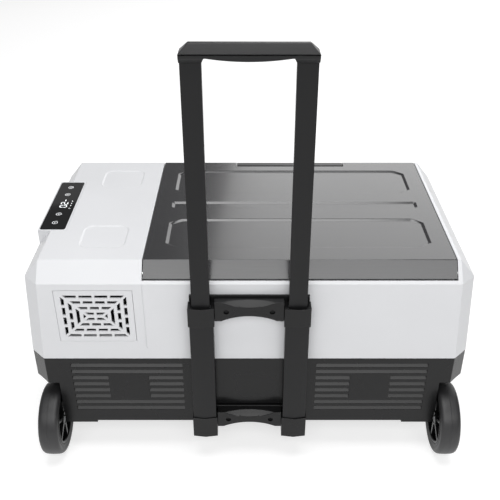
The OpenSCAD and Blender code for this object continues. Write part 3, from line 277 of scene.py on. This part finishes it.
# %% Lid finish
def lid_finish():
    """Satin plastic with fine streaks along the lid, under a thin clear layer."""
    finish = Finish("lid_plastic", (0.023, 0.023, 0.0245), 0.3, coat=0.3, gloss=0.5)
    streaks = finish.noise(0.0012, 3, (0.02, 1, 1))
    drift = finish.noise(0.07)
    dark, light = (0.019, 0.019, 0.0205, 1), (0.028, 0.028, 0.030, 1)
    finish.set("Base Color", finish.blend(streaks, dark, light))
    finish.set("Roughness", 0.17 + streaks * 0.07 + drift * 0.04)
    finish.shader.inputs["Coat Roughness"].default_value = 0.11
    finish.relief(streaks * 0.6 + finish.cells(0.0011) * 0.4, 0.000008)
    return finish.material


lid_plastic = lid_finish()
print("lid", lid_plastic.name)

# %% [markdown]
# ## Metals, rubber and glass
# Powder coat on the tubes has a faint orange peel. Zinc plating is bright with a little stain.
# Rolled aluminium is noise stretched along the rolling direction. Rubber is rougher and a little
# dusty, and glass carries faint finger marks. Each is one short function, because the same few
# steps with other numbers give all the members of a family.


# %% Metal, rubber and glass finishes
def plated(name, colour, roughness, stretch=(1, 1, 1)):
    """Bare or plated metal, with streaks in its gloss."""
    finish = Finish(name, colour, roughness, metallic=1.0)
    streaks = finish.noise(0.004, 6, stretch)
    finish.set("Roughness", roughness - 0.08 + streaks * 0.16)
    finish.relief(streaks, 0.00002)
    return finish.material


def coated(name, colour, roughness, peel, depth, gloss=0.22):
    """Painted or powder-coated metal. The orange peel's size and depth are in metres."""
    finish = Finish(name, colour, roughness, gloss=gloss)
    finish.mottle(0.05, 0.06, roughness, 0.08)
    finish.relief(finish.noise(peel, 2), depth)
    return finish.material


def rubbery(name, colour, roughness):
    """Rubber, a little dusty and uneven."""
    finish = Finish(name, colour, roughness)
    finish.mottle(0.02, 0.12, roughness, 0.12)
    finish.relief(finish.noise(0.0006, 5), 0.00006)
    return finish.material


def glassy(name, colour, roughness):
    """Smooth glass with faint finger marks."""
    finish = Finish(name, colour, roughness)
    marks = finish.noise(0.012, 5)
    finish.set("Base Color", finish.blend(marks, finish.colour, finish.tint(1.5)))
    finish.set("Roughness", roughness + marks * 0.04)
    return finish.material


def printed(name, colour, glow):
    """Ink or a lit sign, with the slight unevenness of a print. A lit sign glows as a display does;
    on ink the glow is painted light.
    """
    finish = Finish(name, colour, 0.5)
    speckle = finish.noise(0.0004, 4)
    shade = finish.blend(speckle, finish.tint(0.85), finish.colour)
    finish.set("Base Color", shade)
    finish.set("Emission Color", shade)
    finish.shader.inputs["Emission Strength"].default_value = glow
    return finish.material


tube_coat = coated("tube_coat", (0.009, 0.009, 0.0095), 0.38, 0.0009, 0.00002)
grip_plastic = coated("grip_plastic", (0.009, 0.009, 0.0095), 0.33, 0.0006, 0.00003, 0.3)
black_oxide = coated("black_oxide", (0.006, 0.006, 0.0065), 0.3, 0.0009, 0.00002)
enamel = coated("enamel", (0.014, 0.014, 0.015), 0.2, 0.003, 0.00003, 0.5)
zinc = plated("zinc", (0.62, 0.63, 0.64), 0.34)
rolled_aluminium = plated("rolled_aluminium", (0.74, 0.75, 0.76), 0.32, (1, 1, 12))
copper = plated("copper", (0.72, 0.36, 0.20), 0.3)
rubber = rubbery("rubber", (0.018, 0.018, 0.018), 0.75)
tyre_rubber = rubbery("tyre_rubber", (0.020, 0.020, 0.021), 0.46)
board_finish = moulded("board_finish", (0.010, 0.075, 0.035), 0.4, 0.002, 0.00005, amount=0.2)
wire_finish = moulded("wire_finish", (0.32, 0.02, 0.015), 0.4, 0.002, 0.00001)
display_glass = glassy("display_glass", (0.002, 0.002, 0.0025), 0.02)
lens_glass = glassy("lens_glass", (0.8, 0.8, 0.74), 0.25)
# White print for the key signs and indicators, with a painted glow that makes it brighter than the
# lamps light it.
ink_with_painted_glow = printed("ink_with_painted_glow", (0.85, 0.86, 0.88), 0.45)
lit_sign = printed("lit_sign", (0.85, 0.88, 0.9), 0.7)
print("finishes", len(bpy.data.materials))

# %% [markdown]
# ## Which part has which finish
# The record names a material slot for every part, so a table from slot to finish dresses the
# whole model in one loop. Only parts that look unlike the rest of their slot are named: the grip
# is rougher than the other black plastic, and the display and its keys are one sheet of glass.

# %% Dressing the parts
finishes = {
    "casing_white": white_plastic,
    "charcoal_plastic": dark_plastic,
    "lid_grey": lid_plastic,
    "black_plastic": black_plastic,
    "handle_tube": tube_coat,
    "liner_white": liner_plastic,
    "foam": foam_finish,
    "rubber": rubber,
    "tyre_rubber": tyre_rubber,
    "steel": zinc,
    "aluminium": rolled_aluminium,
    "compressor_paint": enamel,
    "copper": copper,
    "board": board_finish,
    "wire": wire_finish,
    "nylon": nylon,
    "black_steel": black_oxide,
    "lamp": lens_glass,
}
special = {"grip": grip_plastic, "display_panel": display_glass, "lid_tray": liner_plastic}
key_names = ("power", "menu", "plus", "minus")
special.update({key + "_key": display_glass for key in key_names})
slot_of = {part["node"]: part["material_slot"] for part in frame["record"]["subparts"]}


def dress(piece, material):
    piece.data.materials.clear()
    piece.data.materials.append(material)


for name, part in nodes.items():
    dress(part, special.get(name, finishes[slot_of[name]]))
print("dressed", len(nodes), "parts")

# %% [markdown]
# ## The floor's finish
# The floor of a studio shot is lit until it is nearly white, and only the shadow under the chest
# stays. More lamps would do that and would also wash out the chest. Instead the floor glows a
# little by itself, over a mid grey that still takes the shadow.

# %% Floor finish
floor_finish = Finish("floor_finish", (0.50, 0.50, 0.50), 0.6, gloss=0.1)
floor_finish.mottle(1.5, 0.005, 0.6, 0.04)
floor_finish.set("Emission Color", (1, 1, 1, 1))
floor_finish.shader.inputs["Emission Strength"].default_value = 0.64
dress(floor, floor_finish.material)
print("floor finish", floor_finish.material.name)

# %% [markdown]
# ## Copies of parts
# A part whose shape is right but whose edges are too sharp gets a copy that stands for it. The
# CAD mesh is loose triangles, which a bevel can't follow, so the copy's corners are merged first.
# The part itself isn't touched, because the motion still needs it.

# %% Copying a part
body_of = {}
for body, members in frame["record"]["behaviour"]["bodies"].items():
    for member in members:
        body_of[member] = body


def only(piece):
    """Selects one object and nothing else."""
    bpy.ops.object.select_all(action="DESELECT")
    piece.select_set(True)
    bpy.context.view_layer.objects.active = piece


def merged_copy(name, copy_name):
    """A copy of a CAD node with its loose triangles merged."""
    piece = bpy.data.objects.new(copy_name, nodes[name].data.copy())
    bpy.context.scene.collection.objects.link(piece)
    only(piece)
    bpy.ops.mesh.customdata_custom_splitnormals_clear()
    bpy.ops.object.mode_set(mode="EDIT")
    bpy.ops.mesh.select_all(action="SELECT")
    bpy.ops.mesh.remove_doubles(threshold=0.01 * MM)
    bpy.ops.object.mode_set(mode="OBJECT")
    return piece


def stand_for(piece, name):
    """Lets a piece stand for a CAD node: its body, and the node is hidden."""
    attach(piece, body_of[name])
    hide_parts(name)


# %% [markdown]
# ## Soft edges
# A moulding has no knife edges: a small rounding catches the light along every long edge. A
# bevel modifier could round them all by angle, but it would also cut into the thin ribs and the
# facets of small holes. So the edges are chosen in code by length, angle and the room beside
# them, and then bevelled. Weighted normals keep the large faces flat afterwards.


# %% Rounding
def roundable(edge, width, sharp, shortest):
    """True for a long outward edge with room on both sides."""
    if len(edge.link_faces) != 2 or not edge.is_convex or edge.calc_length() < shortest:
        return False
    if edge.calc_face_angle() < sharp:
        return False
    room = 2.2 * width
    return all(face.calc_area() / edge.calc_length() > room for face in edge.link_faces)


def smooth(piece, angle):
    """Smooth shading that leans on the large faces."""
    only(piece)
    bpy.ops.object.shade_smooth_by_angle(angle=math.radians(angle))
    bpy.ops.object.modifier_add(type="WEIGHTED_NORMAL")
    piece.modifiers[-1].keep_sharp = True
    bpy.ops.object.modifier_apply(modifier=piece.modifiers[-1].name)


def refined(name, width, shortest=5.0, sharp=22.0, crease=24.0):
    """A copy of a CAD node with rounded edges, which stands for it. Sizes in mm and degrees."""
    piece = merged_copy(name, name + "_soft")
    bpy.ops.object.mode_set(mode="EDIT")
    bpy.ops.mesh.select_all(action="SELECT")
    bpy.ops.mesh.dissolve_limited(angle_limit=math.radians(0.6))
    bpy.ops.mesh.select_mode(type="EDGE")
    bpy.ops.mesh.select_all(action="DESELECT")
    shape = bmesh.from_edit_mesh(piece.data)
    for edge in shape.edges:
        edge.select = roundable(edge, width * MM, math.radians(sharp), shortest * MM)
    bmesh.update_edit_mesh(piece.data)
    bpy.ops.mesh.bevel(offset=width * MM, segments=3, affect="EDGES", clamp_overlap=False)
    bpy.ops.object.mode_set(mode="OBJECT")
    smooth(piece, crease)
    stand_for(piece, name)
    print(piece.name, len(piece.data.polygons), "faces")


# %% [markdown]
# ## Parts with soft edges
# The casing's roof panels have gentle slopes, which broad smoothing would iron out, so it gets a
# small crease angle and keeps its slopes as edges. The grip has the largest rounding, because a
# hand closes round it. Pressed and moulded parts have between 0.3 and 0.8 mm.

# %% Refined parts
refined("upper_casing", 0.8, sharp=40, crease=9)
refined("base_tub", 0.6)
refined("vent_grille", 0.35)
refined("lid_cover", 0.7)
refined("latch_lever", 0.5)
refined("control_pod", 0.8)
refined("upper_bracket", 0.7, shortest=3)
refined("lower_bracket", 0.7, shortest=3)
for side in ("_left", "_right"):
    refined("outer_tube" + side, 0.5)
    refined("inner_tube" + side, 0.4)
    refined("hub" + side, 0.6, shortest=1.5)
refined("grip", 1.2, shortest=4)
refined("release_bar", 0.5)
refined("axle_brackets", 0.6)
refined("rear_feet", 0.6)

# %% [markdown]
# ## Release springs
# Two coils push the release bar down, and shorten as it rises into the grip. Rigid ones would
# cut through the bar. A merged and smoothed copy of the CAD coils stands for them, with a mesh
# of its own, at the height the CAD model gives them.

# %% Coils
coils = merged_copy("release_springs", "release_coils")
smooth(coils, 60)
stand_for(coils, "release_springs")
coil_foot, coil_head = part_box("release_springs")
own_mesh(coils)
print("coils", round((coil_head.z - coil_foot.z) / MM, 2), "mm tall")

# %% [markdown]
# ## Wheels
# A tyre has a bead, a raised ring on each sidewall, rounded shoulders, and a slightly crowned
# tread with the fine parting line of its mould. All of that is the same all the way round, so an
# outline is drawn once and spun about the axle, as on a lathe. Half an outline is enough, because
# the other half mirrors it.


# %% Turned pieces
def turned(name, outline, steps):
    """Spins a closed outline about the axle. Its points are (place along X, radius) in mm."""
    bpy.ops.object.select_all(action="DESELECT")
    bpy.ops.mesh.primitive_circle_add(vertices=len(outline), fill_type="NOTHING")
    piece = bpy.context.object
    piece.name = name
    for vertex, (along, radius) in zip(piece.data.vertices, outline):
        vertex.co = (along * MM, axle.y, axle.z + radius * MM)
    only(piece)
    bpy.ops.object.mode_set(mode="EDIT")
    bpy.ops.mesh.select_all(action="SELECT")
    bpy.ops.mesh.spin(steps=steps, angle=2 * math.pi, center=axle, axis=(1, 0, 0))
    bpy.ops.mesh.select_all(action="SELECT")
    bpy.ops.mesh.remove_doubles(threshold=0.000002)
    bpy.ops.mesh.normals_make_consistent(inside=False)
    bpy.ops.object.mode_set(mode="OBJECT")
    return piece


# %% Tyres
wheel_low, wheel_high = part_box("tyre_right")
axle = Vector((0, (wheel_low.y + wheel_high.y) / 2, (wheel_low.z + wheel_high.z) / 2))
wheel_inside = wheel_low.x / MM
tyre_w = (wheel_high.x - wheel_low.x) / MM
tyre_r = (wheel_high.z - wheel_low.z) / 2 / MM
rim_r = 45.05

# Half of the tyre, from the bead to the middle of the tread: depth from the side, then radius
half_tyre = [(1.9, rim_r), (1.7, 47.0), (1.2, 47.5), (1.2, 48.5), (1.9, 49.2), (1.7, 50.6)]
half_tyre += [(0.8, 53.0), (0.3, 55.0), (0.5, 57.0), (1.6, 58.8), (3.4, 60.1), (5.6, 60.8)]
half_tyre += [(8.5, 61.2), (12.5, tyre_r - 0.1), (16.0, tyre_r), (16.2, tyre_r - 0.25)]
other_half = [(tyre_w - depth, radius) for depth, radius in reversed(half_tyre)]
wheel_sides = (("_left", -1), ("_right", 1))

for side, outward in wheel_sides:
    outline = [(outward * (wheel_inside + depth), radius) for depth, radius in half_tyre + other_half]
    tyre = turned("tyre_turned" + side, outline, 120)
    smooth(tyre, 50)
    dress(tyre, tyre_rubber)
    stand_for(tyre, "tyre" + side)
    print(tyre.name, len(tyre.data.polygons), "faces")

# %% [markdown]
# ## Hub rings
# A round lip frames the spokes at the rim, and a smaller one frames the cap over the axle, on
# both faces of each hub. They are turned like the tyres, as pieces of their own, because the
# spokes between them are flat and stay as the CAD model has them.

# %% Hub rings
lip = [(0.0, 40.3), (-1.2, 40.9), (-1.6, 41.9), (-1.3, 43.2), (0.0, 44.4), (0.8, 44.4), (0.8, 40.3)]
cap_lip = [(0.0, 10.5), (-0.7, 10.9), (-0.9, 11.6), (-0.6, 12.3), (0.0, 12.8), (0.6, 12.8)]
cap_lip += [(0.6, 10.5)]
hub_low, hub_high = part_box("hub_right")
hub_faces = (("inner", hub_low.x / MM, 1), ("outer", hub_high.x / MM, -1))

for side, outward in wheel_sides:
    for place, face, into in hub_faces:
        for kind, shape in (("rim_lip_", lip), ("cap_lip_", cap_lip)):
            outline = [(outward * (face + into * depth), radius) for depth, radius in shape]
            ring = turned(kind + place + side, outline, 72)
            smooth(ring, 60)
            dress(ring, dark_plastic)
            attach(ring, "wheel" + side)
print("hub rings", len(hub_faces) * 2 * len(wheel_sides))

# %% [markdown]
# ## Signs
# The glass carries printed signs for its keys, a lit number and a few small indicators. The key
# signs and indicators are white print that also glows a little, which is painted light. They
# are read from the left end of the chest, so a sign's up is +X and its right is -Y. A picture on
# the glass would blur when seen close, so each sign is a thin raised print made of a few rings
# and bars. A ring is an inset circle, and a bar is a plane with cut corners.

# %% Flat shapes
sign_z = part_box("display_panel")[1].z + 0.02 * MM
ink_thickness = 0.06 * MM


def flat_ring(x, y, outer, inner):
    """A thin ring lying on the glass."""
    bpy.ops.object.select_all(action="DESELECT")
    bpy.ops.mesh.primitive_circle_add(
        vertices=40, radius=outer * MM, fill_type="NGON", location=(x, y, sign_z)
    )
    bpy.ops.object.mode_set(mode="EDIT")
    bpy.ops.mesh.select_all(action="SELECT")
    bpy.ops.mesh.inset(thickness=(outer - inner) * MM)
    bpy.ops.mesh.delete(type="FACE")
    bpy.ops.object.mode_set(mode="OBJECT")
    return bpy.context.object


def flat_bar(x, y, tall, wide):
    """A small flat bar lying on the glass, with cut corners: tall along X, wide along Y."""
    bpy.ops.object.select_all(action="DESELECT")
    bpy.ops.mesh.primitive_plane_add(size=1, location=(x, y, sign_z))
    bar = bpy.context.object
    for vertex in bar.data.vertices:
        vertex.co = (vertex.co.x * tall * MM, vertex.co.y * wide * MM, 0)
    bpy.ops.object.mode_set(mode="EDIT")
    bpy.ops.mesh.select_all(action="SELECT")
    bpy.ops.mesh.bevel(offset=min(tall, wide) * 0.3 * MM, affect="VERTICES", segments=1)
    bpy.ops.object.mode_set(mode="OBJECT")
    return bar


def sign(name, shapes, body, material):
    """Joins flat shapes into one printed piece with a little thickness."""
    bpy.ops.object.select_all(action="DESELECT")
    for shape in shapes:
        shape.select_set(True)
    bpy.context.view_layer.objects.active = shapes[0]
    if len(shapes) > 1:
        bpy.ops.object.join()
    bpy.ops.object.transform_apply(location=True, rotation=True, scale=True)
    piece = bpy.context.object
    piece.name = name
    bpy.ops.object.modifier_add(type="SOLIDIFY")
    piece.modifiers[-1].thickness = ink_thickness
    piece.modifiers[-1].offset = 1
    bpy.ops.object.modifier_apply(modifier=piece.modifiers[-1].name)
    dress(piece, material)
    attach(piece, body)
    print(piece.name, len(piece.data.polygons), "faces")


# %% [markdown]
# ## Signs on the keys
# Every key has a ring with a sign inside it: a broken circle for power, three bars for the menu,
# a plus and a minus. The ring stays well inside the edge of the key, and each sign rides on its
# key, so that it sinks with the key into the glass.


# %% Key signs
def key_middle(key):
    low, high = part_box(key + "_key")
    return (low.x + high.x) / 2, (low.y + high.y) / 2


ring_outer, ring_inner = 4.6, 3.9
for key in key_names:
    x, y = key_middle(key)
    shapes = [flat_ring(x, y, ring_outer, ring_inner)]
    if key == "power":
        shapes += [flat_ring(x, y, 2.2, 1.7), flat_bar(x + 1.7 * MM, y, 2.2, 0.6)]
    if key == "menu":
        shapes += [flat_bar(x + step * MM, y, 0.6, 3.6) for step in (-1.4, 0, 1.4)]
    if key in ("plus", "minus"):
        shapes += [flat_bar(x, y, 0.8, 4.2)]
    if key == "plus":
        shapes += [flat_bar(x, y, 4.2, 0.8)]
    # The key sign is white print with a painted glow.
    sign(key + "_sign", shapes, key + "_button", ink_with_painted_glow)

# %% [markdown]
# ## The number
# The display shows a temperature in seven-segment figures. A font could draw it, but the real
# figures are lit bars behind the glass. So each figure is a list of bar letters, from a at the
# top clockwise to f, with g in the middle, and the same function places them all.

# %% The number
glass_low, glass_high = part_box("display_panel")
glass_middle_y = (glass_low.y + glass_high.y) / 2
digit_tall, digit_wide, digit_pitch, stroke = 11.0, 7.4, 10.6, 1.5
side_gap, end_gap = 0.9, 1.4
digit_foot = glass_low.x + 16 * MM
first_digit_y = glass_middle_y + 15.25 * MM
strokes_of = {"-": "g", "2": "abged", "0": "abcdef"}


def digit(symbol, index):
    """The bars of one seven-segment figure."""
    y = first_digit_y - index * digit_pitch * MM
    middle = digit_foot + digit_tall / 2 * MM
    side = digit_wide / 2 * MM
    upper = digit_tall / 4 * MM
    bars = {
        "a": (middle + 2 * upper, y, stroke, digit_wide - end_gap),
        "g": (middle, y, stroke, digit_wide - end_gap),
        "d": (middle - 2 * upper, y, stroke, digit_wide - end_gap),
        "f": (middle + upper, y + side, digit_tall / 2 - side_gap, stroke),
        "b": (middle + upper, y - side, digit_tall / 2 - side_gap, stroke),
        "e": (middle - upper, y + side, digit_tall / 2 - side_gap, stroke),
        "c": (middle - upper, y - side, digit_tall / 2 - side_gap, stroke),
    }
    return [flat_bar(*bars[name]) for name in strokes_of[symbol]]


number = [bar for index, symbol in enumerate("-20") for bar in digit(symbol, index)]
sign("display_number", number, "cabinet", lit_sign)

# %% [markdown]
# ## Indicators
# Beyond the number lie three small bars and a ring, for the power source and the state of the
# compressor. They make one printed piece, because they never move apart.

# %% Indicators
indicator_x = glass_low.x + 33.5 * MM
bar_y = glass_middle_y + 12.75 * MM
bar_pitch = 8 * MM
indicators = [flat_bar(indicator_x, bar_y - step * bar_pitch, 1.6, 3.0) for step in range(3)]
indicators += [flat_ring(indicator_x, glass_middle_y - 13.25 * MM, 1.4, 0.9)]
# The indicators are white print with a painted glow.
sign("display_indicators", indicators, "cabinet", ink_with_painted_glow)
